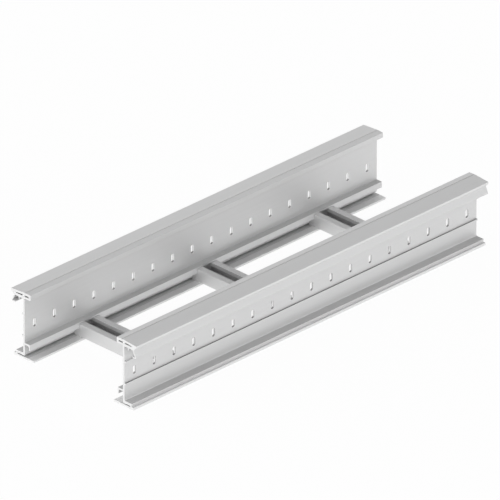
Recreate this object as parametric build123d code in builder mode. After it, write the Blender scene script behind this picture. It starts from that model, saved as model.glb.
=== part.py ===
# Cable ladder section: two extruded aluminium side rails joined by channel rungs.
# X runs along the ladder, Y across it, Z up. The origin is on the floor, under the middle.
# The rails are one extrusion, mirrored, so every section size below is given once, as
# seen from the rail's web: "inner" is towards the rungs and "outer" is away from them.
import os

from build123d import *

# Layout
ladder_length = 900.0
rail_spacing = 255.0  # web centre to web centre
rail_height = 135.0
web_thickness = 4.0
inner_fillet = 2.0

# Foot flange that the ladder stands on
foot_inner_reach = 25.0  # from the web's centre to the inner edge
foot_outer_reach = 25.0
foot_inner_thickness = 3.8
foot_toe_height = 5.1
block_reach = 20.3  # outer edge of the block above the toe
block_height = 11.2
foot_slot_height = 2.5  # the slot under the web is open on the inner side
foot_slot_reach = 16.7
foot_bend_radius = 2.4  # web's lower edge, over the slot's mouth

# Head flange with its two chambers. Its heights are drops from the rail's highest line
head_inner_reach = 17.5
head_outer_reach = 32.5
head_inner_drop = 0.8
head_inner_depth = 12.0
head_outer_depth = 13.2
chamber_drop = 8.4
head_roof = 4.4
head_end_wall = 5.0
head_post = 3.0  # outer face of the wall between the chambers, from the web's centre
head_upper_radius = 1.0
head_lower_radius = 2.4
nose_drop = 2.9
nose_height = 4.6
nose_undercut = 1.2
nose_wall = 12.6  # solid metal between the outer chamber and the nose
crest_offset = 3.9  # the marking groove runs along the crest, this far inside the web
groove_width = 1.2
groove_depth = 1.8

# Hook under the nose, and the short rib that faces it
hook_wall = 2.4
hook_root = 22.6
hook_flare = 29.7
hook_leg_drop = 12.0  # from the head's underside down to the flare
hook_heel_height = 2.2
hook_toe_reach = 6.2
hook_tip_rise = 1.8
hook_radius = 1.4
hook_tip_radius = 1.3
guide_rib_offset = 12.0
guide_rib_width = 2.0
guide_rib_length = 4.8

# Ribs on the web's outer face that locate a splice plate
splice_rib_depth = 3.0
splice_rib_height = 3.2
splice_rib_low = 45.1
splice_rib_high = 89.5

# Ledge that holds the rungs down, with its lip
rung_play = 0.3  # clearance between a rung and the rail, above it and at its ends
ledge_thickness = 3.5
ledge_reach = 15.2
ledge_lip_thickness = 2.4
ledge_lip_drop = 11.7
ledge_fillet = 3.5
lip_notch_play = 0.6

# Splice and fixing slots in the web
slot_pitch = 50.0
slot_width = 7.0
slot_length = 17.0
slot_height = 65.6

# Rungs
rung_count = 3
rung_pitch = 300.0
rung_width = 50.0
rung_height = 25.0
rung_wall = 2.5
rung_slot = 22.0
rung_return = 7.0
rung_corner = 1.2

# Places that follow from the sizes above
half_web = web_thickness / 2
half_spacing = rail_spacing / 2
ledge_underside = foot_inner_thickness + rung_height + rung_play
ledge_top = ledge_underside + ledge_thickness
rung_length = rail_spacing - web_thickness - 2 * rung_play
head_slope = nose_drop / (head_outer_reach + crest_offset)
head_inner_top = rail_height - head_inner_drop
head_inner_underside = rail_height - head_inner_depth
head_outer_underside = rail_height - head_outer_depth
chamber_floor = rail_height - chamber_drop
nose_top = rail_height - nose_drop
nose_bottom = nose_top - nose_height
hook_flare_height = head_outer_underside - hook_leg_drop
hook_bottom = hook_flare_height - hook_heel_height
hook_tip = hook_flare - hook_toe_reach


def head_top(offset):
    """Height of the sloping head at a distance outside the web's centre."""
    return rail_height - head_slope * (offset + crest_offset)


# The extrusion's section lies in the YZ plane at the ladder's near end
section_plane = Plane(
    origin=(-ladder_length / 2, half_spacing, 0),
    x_dir=(0, 1, 0),
    z_dir=(1, 0, 0),
)

with BuildSketch(section_plane) as rail_section:
    # Foot, web and head as one outline
    with BuildLine():
        Polyline(
            (-foot_inner_reach, 0),
            (foot_outer_reach, 0),
            (foot_outer_reach, foot_toe_height),
            (block_reach, foot_toe_height),
            (block_reach, block_height),
            (half_web, block_height),
            (half_web, head_outer_underside),
            (hook_root + hook_wall, head_outer_underside),
            (head_outer_reach - nose_undercut, nose_bottom),
            (head_outer_reach, nose_top),
            (-crest_offset, rail_height),
            (-head_inner_reach, head_inner_top),
            (-head_inner_reach, head_inner_underside),
            (-half_web, head_inner_underside),
            (-half_web, foot_inner_thickness),
            (-foot_inner_reach, foot_inner_thickness),
            close=True,
        )
    make_face()
    # The corner on the inner flange is opened by the foot's slot, below
    web_corners = rail_section.vertices().filter_by(
        lambda v: abs(abs(v.X) - half_web) < 0.01 and abs(v.Y - foot_inner_thickness) > 0.01
    )
    fillet(web_corners, inner_fillet)
    upper_corner = rail_section.vertices().filter_by(
        lambda v: abs(v.X + head_inner_reach) < 0.01 and abs(v.Y - head_inner_top) < 0.01
    )
    fillet(upper_corner, head_upper_radius)
    lower_corner = rail_section.vertices().filter_by(
        lambda v: abs(v.X + head_inner_reach) < 0.01 and abs(v.Y - head_inner_underside) < 0.01
    )
    fillet(lower_corner, head_lower_radius)

    # Hook under the nose: a thick line that flares out and turns back in
    with BuildLine() as hook_line:
        FilletPolyline(
            (hook_root, head_outer_underside + hook_wall),
            (hook_flare, hook_flare_height),
            (hook_flare, hook_bottom),
            (hook_tip, hook_bottom),
            (hook_tip, hook_bottom + hook_tip_rise),
            radius=(hook_radius, hook_radius, hook_tip_radius),
        )
    trace(line_width=hook_wall)

    # Guide rib that faces the hook
    with Locations((guide_rib_offset, head_outer_underside)):
        Rectangle(guide_rib_width, 2 * guide_rib_length)

    # Splice plate ribs
    with Locations((0, splice_rib_low), (0, splice_rib_high)):
        Rectangle(half_web + splice_rib_depth, splice_rib_height, align=(Align.MIN, Align.CENTER))

    # Rung ledge: a plate with a lip turned down at its edge
    with BuildLine():
        Polyline(
            (0, ledge_top),
            (-ledge_reach, ledge_top),
            (-ledge_reach, ledge_top - ledge_lip_drop),
            (-ledge_reach + ledge_lip_thickness, ledge_top - ledge_lip_drop),
            (-ledge_reach + ledge_lip_thickness, ledge_underside),
            (0, ledge_underside),
            close=True,
        )
    make_face()
    lip_corner = rail_section.vertices().filter_by(
        lambda v: abs(v.X + ledge_reach - ledge_lip_thickness) < 0.01
        and abs(v.Y - ledge_underside) < 0.01
    )
    fillet(lip_corner, ledge_fillet)

    # Marking groove along the crest
    with Locations((-crest_offset, rail_height)):
        Rectangle(groove_width, 2 * groove_depth, mode=Mode.SUBTRACT)

    # Slot that runs in under the web
    with BuildLine():
        Polyline(
            (-web_thickness, foot_inner_thickness),
            (foot_slot_reach, foot_inner_thickness),
            (foot_slot_reach, foot_inner_thickness + foot_slot_height),
            (-web_thickness, foot_inner_thickness + foot_slot_height),
            close=True,
        )
    make_face(mode=Mode.SUBTRACT)
    bend_corner = rail_section.vertices().filter_by(
        lambda v: abs(v.X + half_web) < 0.01
        and abs(v.Y - foot_inner_thickness - foot_slot_height) < 0.01
    )
    fillet(bend_corner, foot_bend_radius)

    # Chambers of the head
    with BuildLine():
        Polyline(
            (head_post, chamber_floor),
            (head_outer_reach - nose_wall, chamber_floor),
            (head_outer_reach - nose_wall, head_top(head_outer_reach - nose_wall) - head_roof),
            (head_post, head_top(head_post) - head_roof),
            close=True,
        )
    make_face(mode=Mode.SUBTRACT)
    with BuildLine():
        Polyline(
            (-half_web, chamber_floor),
            (-head_inner_reach + head_end_wall, chamber_floor),
            (-head_inner_reach + head_end_wall, head_inner_top - head_roof),
            (-half_web, head_inner_top - head_roof),
            close=True,
        )
    make_face(mode=Mode.SUBTRACT)

rung_places = [(i - (rung_count - 1) / 2) * rung_pitch for i in range(rung_count)]
slot_count = int(ladder_length / slot_pitch)
notch_depth = ledge_reach - half_web

with BuildPart() as side_rail_left:
    extrude(rail_section.sketch, amount=ladder_length)
    # Slots on half pitch from the ladder's ends, so that they run on across a joint
    with BuildSketch(Plane.XZ.offset(-half_spacing)):
        with Locations((0, slot_height)):
            with GridLocations(slot_pitch, 0, slot_count, 1):
                SlotOverall(slot_length, slot_width, rotation=90)
    extrude(amount=web_thickness, both=True, mode=Mode.SUBTRACT)
    # The lip is cut away where a rung passes under the ledge
    with Locations([(x, half_spacing - half_web, ledge_underside) for x in rung_places]):
        Box(
            rung_width + 2 * lip_notch_play,
            notch_depth,
            ledge_lip_drop,
            align=(Align.CENTER, Align.MAX, Align.MAX),
            mode=Mode.SUBTRACT,
        )
side_rail_left.part.label = "side_rail_left"

with BuildPart() as side_rail_right:
    mirror(side_rail_left.part, about=Plane.XZ)
side_rail_right.part.label = "side_rail_right"

# Rungs: a channel open at the top, with both edges turned down into it
rungs = []
for number, x in enumerate(rung_places, start=1):
    with BuildPart() as rung:
        with BuildSketch(Plane.XZ.offset(-rung_length / 2)) as rung_section:
            with Locations((x, foot_inner_thickness + rung_height / 2)):
                Rectangle(rung_width, rung_height)
            fillet(rung_section.vertices(), rung_corner)
            with Locations((x, foot_inner_thickness + rung_height / 2)):
                Rectangle(rung_width - 2 * rung_wall, rung_height - 2 * rung_wall, mode=Mode.SUBTRACT)
            with Locations((x, foot_inner_thickness + rung_height)):
                Rectangle(rung_slot + 2 * rung_wall, rung_return, align=(Align.CENTER, Align.MAX))
                Rectangle(
                    rung_slot,
                    rung_return,
                    align=(Align.CENTER, Align.MAX),
                    mode=Mode.SUBTRACT,
                )
        extrude(amount=rung_length)
    rung.part.label = f"rung_{number}"
    rungs.append(rung)

os.makedirs("parts", exist_ok=True)
export_step(side_rail_left.part, "parts/side_rail_left.step")
export_step(side_rail_right.part, "parts/side_rail_right.step")
for rung in rungs:
    export_step(rung.part, f"parts/{rung.part.label}.step")
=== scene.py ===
# Cable ladder section in mill finish aluminium: two side rails and three channel rungs
import math

import bpy
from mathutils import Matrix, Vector

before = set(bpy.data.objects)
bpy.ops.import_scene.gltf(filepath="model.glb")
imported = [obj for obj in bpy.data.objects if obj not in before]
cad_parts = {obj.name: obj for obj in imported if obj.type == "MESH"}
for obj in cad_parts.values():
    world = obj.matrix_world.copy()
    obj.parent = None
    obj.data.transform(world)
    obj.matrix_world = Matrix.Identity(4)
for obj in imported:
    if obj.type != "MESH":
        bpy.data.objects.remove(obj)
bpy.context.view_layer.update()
print("frame loaded:", len(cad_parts), "pieces")

bpy.context.scene.view_settings.view_transform = "Standard"
bpy.ops.object.select_all(action="DESELECT")


def addNode(tree, kind, place, **values):
    node = tree.nodes.new(kind)
    node.location = place
    for name, value in values.items():
        setattr(node, name, value)
    return node


def feed(tree, socket, source):
    # A link where the source is a socket, else a plain value
    if isinstance(source, bpy.types.NodeSocket):
        tree.links.new(source, socket)
    else:
        socket.default_value = source


def math2(tree, operation, a, b, place):
    node = addNode(tree, "ShaderNodeMath", place, operation=operation)
    feed(tree, node.inputs[0], a)
    feed(tree, node.inputs[1], b)
    return node.outputs[0]


# Masks are 1 where something holds, and 0 elsewhere
def above(tree, value, limit, place):
    return math2(tree, "GREATER_THAN", value, limit, place)


def below(tree, value, limit, place):
    return math2(tree, "LESS_THAN", value, limit, place)


def nearCentre(tree, value, centre, reach, place):
    offset = math2(tree, "SUBTRACT", value, centre, place)
    size = math2(tree, "ABSOLUTE", offset, 0.0, (place[0] + 160, place[1]))
    return below(tree, size, reach, (place[0] + 320, place[1]))


def both(tree, a, b, place):
    return math2(tree, "MULTIPLY", a, b, place)


def either(tree, a, b, place):
    return math2(tree, "MAXIMUM", a, b, place)


def splitPlace(tree, coordinates):
    # A point's place along the ladder, across it, and up from the floor
    place = addNode(tree, "ShaderNodeSeparateXYZ", (-1400, -700))
    tree.links.new(coordinates, place.inputs[0])
    return place.outputs


def stretchedNoise(tree, coordinates, scale, detail, place):
    # Noise drawn out along the direction with the smallest scale
    mapping = addNode(tree, "ShaderNodeMapping", place)
    mapping.inputs["Scale"].default_value = scale
    noise = addNode(tree, "ShaderNodeTexNoise", (place[0] + 200, place[1]))
    noise.inputs["Scale"].default_value = 1.0
    noise.inputs["Detail"].default_value = detail
    noise.inputs["Roughness"].default_value = 0.6
    tree.links.new(coordinates, mapping.inputs["Vector"])
    tree.links.new(mapping.outputs["Vector"], noise.inputs["Vector"])
    return noise.outputs["Fac"]


noiseRange = (0.3, 0.7)  # where most of a noise's values lie


def spread(tree, noise, low, high, place):
    # The noise's usual range laid between two numbers
    node = addNode(tree, "ShaderNodeMapRange", place)
    node.inputs["From Min"].default_value = noiseRange[0]
    node.inputs["From Max"].default_value = noiseRange[1]
    node.inputs["To Min"].default_value = low
    node.inputs["To Max"].default_value = high
    tree.links.new(noise, node.inputs["Value"])
    return node.outputs["Result"]


def tint(tree, mask, low, high, place):
    # Sockets 6 and 7 are the Mix node's two colours, and output 2 is the mixed one
    node = addNode(tree, "ShaderNodeMix", place, data_type="RGBA")
    feed(tree, node.inputs["Factor"], mask)
    feed(tree, node.inputs[6], low)
    feed(tree, node.inputs[7], high)
    return node.outputs[2]


def raised(tree, height, strength, distance, place, under=None):
    node = addNode(tree, "ShaderNodeBump", place)
    node.inputs["Strength"].default_value = strength
    node.inputs["Distance"].default_value = distance
    tree.links.new(height, node.inputs["Height"])
    if under:
        tree.links.new(under, node.inputs["Normal"])
    return node.outputs["Normal"]


def millMaterial(finish):
    # Extruded aluminium: faint streaks and die lines, soft clouds from handling
    material = bpy.data.materials.new(finish["name"])
    material.use_nodes = True
    tree = material.node_tree
    surface = tree.nodes["Principled BSDF"]
    surface.location = (900, 0)
    surface.inputs["Metallic"].default_value = finish["metallic"]
    tree.nodes["Material Output"].location = (1200, 0)
    coordinates = addNode(tree, "ShaderNodeTexCoord", (-1400, 0)).outputs["Object"]
    streaks = stretchedNoise(
        tree, coordinates, finish["streaks"], detail=3.0, place=(-1100, 300)
    )
    dieLines = stretchedNoise(
        tree, coordinates, finish["dieLines"], detail=2.0, place=(-1100, 0)
    )
    clouds = stretchedNoise(
        tree, coordinates, finish["clouds"], detail=4.0, place=(-1100, -300)
    )
    streakShare = spread(tree, streaks, 0.0, 1.0, (-600, 300))
    cloudShare = spread(tree, clouds, 0.0, finish["cloudShare"], (-600, -300))
    colour = tint(
        tree, streakShare, finish["streakColour"], finish["colour"], (-300, 300)
    )
    colour = tint(tree, cloudShare, colour, finish["cloudColour"], (-100, 300))
    smoothest, roughest = finish["roughness"]
    roughness = spread(tree, streaks, smoothest, roughest, (-300, 0))
    normal = raised(
        tree, dieLines, finish["dieLineStrength"], finish["dieLineHeight"], (300, -300)
    )
    return material, coordinates, colour, roughness, normal


def coat(material, colour, roughness, normal):
    tree = material.node_tree
    surface = tree.nodes["Principled BSDF"]
    tree.links.new(colour, surface.inputs["Base Color"])
    tree.links.new(roughness, surface.inputs["Roughness"])
    tree.links.new(normal, surface.inputs["Normal"])


# In metres. Places are given up from the floor, and out from the ladder's middle
railFinish = {
    "name": "railMillFinish",
    "colour": (0.73, 0.73, 0.73, 1.0),
    "streakColour": (0.695, 0.695, 0.695, 1.0),
    "cloudColour": (0.71, 0.711, 0.713, 1.0),
    "cloudShare": 0.8,
    "metallic": 0.7,
    "roughness": (0.55, 0.61),
    "streaks": (1.1, 260.0, 260.0),  # per metre: long along the rail, fine across it
    "dieLines": (2.5, 1500.0, 1500.0),
    "dieLineStrength": 0.35,
    "dieLineHeight": 0.00004,
    "clouds": (9.0, 16.0, 16.0),
    # Sawn ends, with the fine arcs that the blade left
    "sawnEnd": 0.4496,
    "sawnColour": (0.78, 0.78, 0.78, 1.0),
    "sawnShare": 0.9,
    "sawLines": 620.0,
    "sawLineWobble": 1.5,
    "sawLineStrength": 0.4,
    "sawLineHeight": 0.00004,
    "sawnRoughness": 0.1,  # added to the metal's own
    "bladeShift": (0.0, 0.32, -0.30),  # takes the arcs' centre away from the rails
    # Punched slots
    "slotPitch": 0.05,
    "slotHeight": 0.0656,
    "slotReach": (0.0036, 0.0086),  # just over half the width and half the length
    "slotWeb": (0.1256, 0.1294),  # between the web's two faces
    # The walls' lighter colour is partly a burnished shear and partly painted light
    "punchedBurnishAndLightColour": (0.84, 0.84, 0.84, 1.0),
    "punchedRoughness": -0.12,  # added, so these walls are smoother
    "slotShadeFrom": 0.1286,  # painted shade on the last of the wall, on the rail's outer side
    "slotShadeBelow": 0.0594,  # painted shade in the slot's lower end
    # The colour of the painted shade on the slot walls
    "slotShadeColour": (0.26, 0.26, 0.26, 1.0),
    # Painted highlights: the nose, and the foot's inner and outer edge
    "noseFrom": 0.1587,
    "footEdges": (0.1026, 0.1524),
    "footTop": 0.0052,
    "paintedHighlightColour": (0.79, 0.79, 0.79, 1.0),
    # Painted shade on the ledges beside the web, and darker painted shade on the splice
    # rib's narrow top
    "ledgeHeights": (0.0112, 0.0326),
    "ledgeBand": 0.0001,
    "webFaces": (0.1254, 0.1296),  # no painted shade on the upright web between these
    "ledgeShadeColour": (0.57, 0.57, 0.57, 1.0),
    "ribHeight": 0.0467,
    "ribShadeColour": (0.3, 0.3, 0.3, 1.0),
    # Painted light on the inner flange where the ledge doesn't shade it
    "flangeLitFrom": 0.1175,
    "flangeTop": 0.0045,
    "flangeLitColour": (0.88, 0.88, 0.88, 1.0),
}


def paintLedgeShade(tree, finish, acrossSize, height, colour):
    lowLedge, highLedge = finish["ledgeHeights"]
    innerFace, outerFace = finish["webFaces"]
    band = finish["ledgeBand"]
    innerSide = below(tree, acrossSize, innerFace, (-1200, -2250))
    outerSide = above(tree, acrossSize, outerFace, (-1200, -2400))
    onLow = nearCentre(tree, height, lowLedge, band, (-1000, -2250))
    onLow = both(tree, onLow, outerSide, (-600, -2300))
    onHigh = nearCentre(tree, height, highLedge, band, (-1000, -2400))
    onHigh = both(tree, onHigh, innerSide, (-600, -2400))
    # Painted shade on the ledge tops
    paintedShadeMask = either(tree, onLow, onHigh, (-500, -2250))
    colour = tint(tree, paintedShadeMask, colour, finish["ledgeShadeColour"], (-300, 700))
    # Darker painted shade on the splice rib's top
    onRib = nearCentre(tree, height, finish["ribHeight"], band, (-1000, -2850))
    onRib = both(tree, onRib, outerSide, (-500, -2850))
    return tint(tree, onRib, colour, finish["ribShadeColour"], (-300, 900))


def paintFlangeLight(tree, finish, acrossSize, height, colour):
    # Painted light on the flange's outer part
    inside = below(tree, acrossSize, finish["flangeLitFrom"], (-1000, -2550))
    onFlange = below(tree, height, finish["flangeTop"], (-1000, -2700))
    litFlange = both(tree, inside, onFlange, (-500, -2550))
    return tint(tree, litFlange, colour, finish["flangeLitColour"], (-150, 700))


def paintEdgeHighlights(tree, finish, acrossSize, height, colour):
    # Painted highlight on the nose and on the foot's edges
    innerEdge, outerEdge = finish["footEdges"]
    nose = above(tree, acrossSize, finish["noseFrom"], (-1000, -1600))
    footOut = above(tree, acrossSize, outerEdge, (-1000, -1750))
    footLow = below(tree, height, finish["footTop"], (-1000, -1900))
    footOut = both(tree, footOut, footLow, (-800, -1750))
    footIn = below(tree, acrossSize, innerEdge, (-1000, -2050))
    highlighted = either(tree, nose, footOut, (-600, -1600))
    highlighted = either(tree, highlighted, footIn, (-400, -1600))
    return tint(tree, highlighted, colour, finish["paintedHighlightColour"], (0, 500))


def bladeArcs(tree, finish, coordinates):
    blade = addNode(tree, "ShaderNodeMapping", (-1200, -450))
    blade.inputs["Location"].default_value = finish["bladeShift"]
    arcs = addNode(
        tree, "ShaderNodeTexWave", (-1000, -450), wave_type="RINGS", rings_direction="X"
    )
    arcs.inputs["Scale"].default_value = finish["sawLines"]
    arcs.inputs["Distortion"].default_value = finish["sawLineWobble"]
    arcs.inputs["Detail"].default_value = 1.0
    tree.links.new(coordinates, blade.inputs["Vector"])
    tree.links.new(blade.outputs["Vector"], arcs.inputs["Vector"])
    return arcs.outputs["Fac"]


def slotWalls(tree, finish, along, acrossSize, height):
    # Where the punched walls are, and their colour: lighter, partly a burnished shear
    # and partly painted light, with painted shade on the outer side and at the lower end
    halfPitch = finish["slotPitch"] / 2
    reachAlong, reachUp = finish["slotReach"]
    webLow, webHigh = finish["slotWeb"]
    webCentre, webReach = (webLow + webHigh) / 2, (webHigh - webLow) / 2
    cell = math2(tree, "PINGPONG", along, halfPitch, (-1200, -1000))
    inWidth = nearCentre(tree, cell, halfPitch, reachAlong, (-1000, -1000))
    inLength = nearCentre(tree, height, finish["slotHeight"], reachUp, (-1000, -1200))
    inWeb = nearCentre(tree, acrossSize, webCentre, webReach, (-1000, -1400))
    punched = both(tree, inWidth, inLength, (-400, -1000))
    punched = both(tree, punched, inWeb, (-200, -1000))
    # Painted shade on the wall's outer side and lower end
    shadedOuterSide = above(tree, acrossSize, finish["slotShadeFrom"], (-400, -1200))
    shadedLowEnd = below(tree, height, finish["slotShadeBelow"], (-400, -1400))
    slotShade = either(tree, shadedOuterSide, shadedLowEnd, (-200, -1200))
    wallColour = tint(
        tree, slotShade, finish["punchedBurnishAndLightColour"], finish["slotShadeColour"], (0, -1200)
    )
    return punched, wallColour


def dressRail(finish):
    material, coordinates, colour, roughness, normal = millMaterial(finish)
    tree = material.node_tree
    along, across, height = splitPlace(tree, coordinates)
    alongSize = math2(tree, "ABSOLUTE", along, 0.0, (-1200, -600))
    acrossSize = math2(tree, "ABSOLUTE", across, 0.0, (-1200, -800))
    colour = paintLedgeShade(tree, finish, acrossSize, height, colour)
    colour = paintFlangeLight(tree, finish, acrossSize, height, colour)
    colour = paintEdgeHighlights(tree, finish, acrossSize, height, colour)

    sawn = above(tree, alongSize, finish["sawnEnd"], (-1000, -600))
    sawnShare = math2(tree, "MULTIPLY", sawn, finish["sawnShare"], (-400, -600))
    colour = tint(tree, sawnShare, colour, finish["sawnColour"], (100, 300))
    arcs = bladeArcs(tree, finish, coordinates)
    grit = math2(tree, "MULTIPLY", arcs, finish["sawnRoughness"], (-400, -450))
    grit = both(tree, grit, sawn, (-200, -450))
    roughness = math2(tree, "ADD", roughness, grit, (100, 0))
    sawLines = both(tree, arcs, sawn, (-200, -300))
    strength, lineHeight = finish["sawLineStrength"], finish["sawLineHeight"]
    normal = raised(tree, sawLines, strength, lineHeight, (500, -300), under=normal)

    punched, wallColour = slotWalls(tree, finish, along, acrossSize, height)
    colour = tint(tree, punched, colour, wallColour, (300, 300))
    shear = math2(tree, "MULTIPLY", punched, finish["punchedRoughness"], (0, -1000))
    roughness = math2(tree, "ADD", roughness, shear, (300, 0))
    coat(material, colour, roughness, normal)
    return material


rungFinish = {
    "name": "rungMillFinish",
    "colour": (0.73, 0.73, 0.73, 1.0),
    "streakColour": (0.695, 0.695, 0.695, 1.0),
    "cloudColour": (0.71, 0.711, 0.713, 1.0),
    "cloudShare": 0.8,
    "metallic": 0.7,
    "roughness": (0.55, 0.61),
    "streaks": (240.0, 2.2, 240.0),  # per metre: long across the ladder
    "dieLines": (1400.0, 4.0, 1400.0),
    "dieLineStrength": 0.35,
    "dieLineHeight": 0.00004,
    "clouds": (18.0, 9.0, 18.0),
    # Painted shade inside the channel, below its turned-in edges
    "rungPitch": 0.3,
    "hollowReach": 0.0226,  # to each side of the rung's own middle
    "hollowTop": 0.0216,
    "hollowShadeColour": (0.55, 0.55, 0.55, 1.0),
}


def dressRung(finish):
    material, coordinates, colour, roughness, normal = millMaterial(finish)
    tree = material.node_tree
    along, _, height = splitPlace(tree, coordinates)
    # Painted shade inside the channel
    offset = math2(tree, "PINGPONG", along, finish["rungPitch"] / 2, (-1200, -700))
    within = below(tree, offset, finish["hollowReach"], (-1000, -700))
    low = below(tree, height, finish["hollowTop"], (-1000, -850))
    paintedShadeMask = both(tree, within, low, (-800, -700))
    colour = tint(tree, paintedShadeMask, colour, finish["hollowShadeColour"], (100, 300))
    coat(material, colour, roughness, normal)
    return material


railMaterial = dressRail(railFinish)
rungMaterial = dressRung(rungFinish)
for name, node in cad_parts.items():
    node.data.materials.clear()
    node.data.materials.append(rungMaterial if name.startswith("rung") else railMaterial)
print("pieces dressed")


floorPlan = {
    "size": 12.0,
    "colour": (0.8, 0.8, 0.8, 1.0),
    "whiteShare": 0.96,  # how far the camera sees plain white; the rest shows the shadow
}

bpy.ops.mesh.primitive_plane_add(size=floorPlan["size"], location=(0, 0, 0))
floor = bpy.context.object
floor.name = "floor"
floorMaterial = bpy.data.materials.new("paleFloor")
floorMaterial.use_nodes = True
floorMaterial.cycles.emission_sampling = "NONE"
tree = floorMaterial.node_tree
paint = tree.nodes["Principled BSDF"]
paint.inputs["Base Color"].default_value = floorPlan["colour"]
paint.inputs["Roughness"].default_value = 1.0
paint.inputs["Specular IOR Level"].default_value = 0.0
glow = addNode(tree, "ShaderNodeEmission", (0, -300))
glow.inputs["Strength"].default_value = 1.0
ray = addNode(tree, "ShaderNodeLightPath", (-500, 300)).outputs
seen = either(tree, ray["Is Camera Ray"], ray["Is Glossy Ray"], (-300, 300))
seen = either(tree, seen, ray["Is Transmission Ray"], (-100, 300))
share = math2(tree, "MULTIPLY", seen, floorPlan["whiteShare"], (100, 300))
blend = addNode(tree, "ShaderNodeMixShader", (300, 0))
tree.links.new(share, blend.inputs[0])
tree.links.new(paint.outputs[0], blend.inputs[1])
tree.links.new(glow.outputs[0], blend.inputs[2])
tree.links.new(blend.outputs[0], tree.nodes["Material Output"].inputs["Surface"])
floor.data.materials.append(floorMaterial)
print("floor laid")


skyPlan = {
    # Brightness by the direction's height, from the horizon, 0, to straight up, 1
    "steps": (
        (0.0, 1.0), (0.02, 0.57), (0.25, 0.73), (0.5, 0.47), (0.75, 0.0), (1.0, 0.0)
    ),
}

world = bpy.data.worlds.new("studio")
bpy.context.scene.world = world
world.use_nodes = True
world.cycles.sampling_method = "NONE"
tree = world.node_tree
direction = addNode(tree, "ShaderNodeTexCoord", (-900, 0))
rise = addNode(tree, "ShaderNodeSeparateXYZ", (-700, 0))
shade = addNode(tree, "ShaderNodeValToRGB", (-400, 0))
ramp = shade.color_ramp.elements
while len(ramp) < len(skyPlan["steps"]):
    ramp.new(0.5)
for element, (position, level) in zip(ramp, skyPlan["steps"]):
    element.position = position
    element.color = (level, level, level, 1.0)
tree.links.new(direction.outputs["Generated"], rise.inputs[0])
tree.links.new(rise.outputs["Z"], shade.inputs["Fac"])
tree.links.new(shade.outputs["Color"], tree.nodes["Background"].inputs["Color"])
print("sky set")


def towards(azimuth, elevation):
    # From the object to a lamp or the camera: azimuth 0 is towards -Y, and 90 towards +X
    turn, tilt = math.radians(azimuth), math.radians(elevation)
    level = math.cos(tilt)
    return Vector((math.sin(turn) * level, -math.cos(turn) * level, math.sin(tilt)))


lampPlan = {
    "spread": 90.0,  # degrees: wide lamps give soft shadows
    # Azimuth and elevation of each lamp in degrees, and its strength
    "lamps": {
        "frontLeft": (-45, 30, 1.03),
        "frontLeftHigh": (-45, 60, 0.21),
        "left": (-135, 10, 0.53),
        "leftHigh": (-135, 40, 0.75),
        "near": (-90, 10, 0.73),
        "front": (0, 10, 0.78),
        "back": (180, 30, 0.24),
        "backHigh": (180, 60, 0.36),
    },
}

for name, (azimuth, elevation, strength) in lampPlan["lamps"].items():
    aim = towards(azimuth, elevation).to_track_quat("Z", "Y")
    bpy.ops.object.light_add(type="SUN", rotation=aim.to_euler())
    sun = bpy.context.object
    sun.name = name
    sun.data.energy = strength
    sun.data.angle = math.radians(lampPlan["spread"])
print("lamps set")


cameraPlan = {
    "azimuth": -45.0,
    "elevation": 27.76,
    "target": (-0.00155, 0.0010861, 0.10096),
    "width": 0.90334,  # of the view, at the target
    "lens": 1500.0,  # long, so that the ladder's edges run nearly parallel
    "farthest": 200.0,
}

bpy.ops.object.camera_add()
camera = bpy.context.object
camera.data.lens = cameraPlan["lens"]
camera.data.clip_end = cameraPlan["farthest"]
distance = cameraPlan["width"] * cameraPlan["lens"] / camera.data.sensor_width
back = towards(cameraPlan["azimuth"], cameraPlan["elevation"])
camera.location = Vector(cameraPlan["target"]) + back * distance
camera.rotation_euler = back.to_track_quat("Z", "Y").to_euler()
bpy.context.scene.camera = camera
print("camera aimed from", round(distance, 2), "m")
